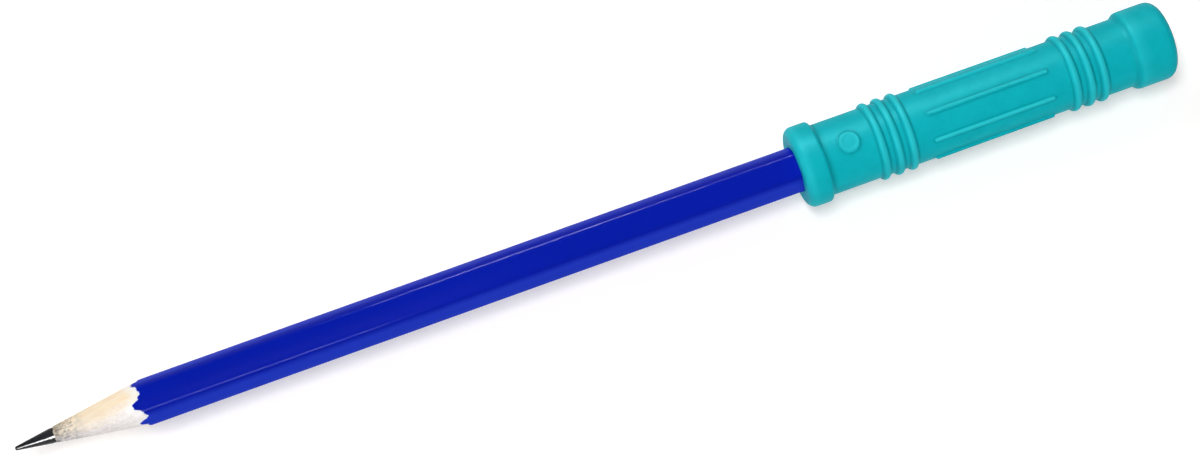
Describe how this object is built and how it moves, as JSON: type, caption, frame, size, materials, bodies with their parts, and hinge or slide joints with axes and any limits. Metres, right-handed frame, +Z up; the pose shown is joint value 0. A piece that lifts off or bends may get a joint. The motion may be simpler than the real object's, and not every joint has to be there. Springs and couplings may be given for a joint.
{
  "type": "pencil with chewable topper",
  "caption": "Sharpened hexagonal wooden pencil with a soft chewable topper pushed onto its blunt end, with ring ribs, long grip ribs and a flared end cap.",
  "frame": {"origin": "on the table under the middle of the assembly's length", "axes": "+X along the pencil from the writing point to the topper's end face, +Z up through the nub"},
  "size_m": [0.2146, 0.0148, 0.0149],
  "materials": {
    "topper_elastomer": "matte moulded",
    "casing_wood": "raw, cut by a sharpener",
    "graphite": "dark grey, shiny where cut",
    "blue_lacquer": "gloss lacquer"
  },
  "bodies": {
    "pencil": {"upper_slat": "casing_wood", "lower_slat": "casing_wood", "graphite_core": "graphite", "lacquer_coat": "blue_lacquer"},
    "topper": {"topper": "topper_elastomer"}
  },
  "joints": [
    {"name": "topper_slide", "type": "slide", "parent": "pencil", "child": "topper", "axis": [1, 0, 0], "range_m": [0, 0.04]}
  ]
}
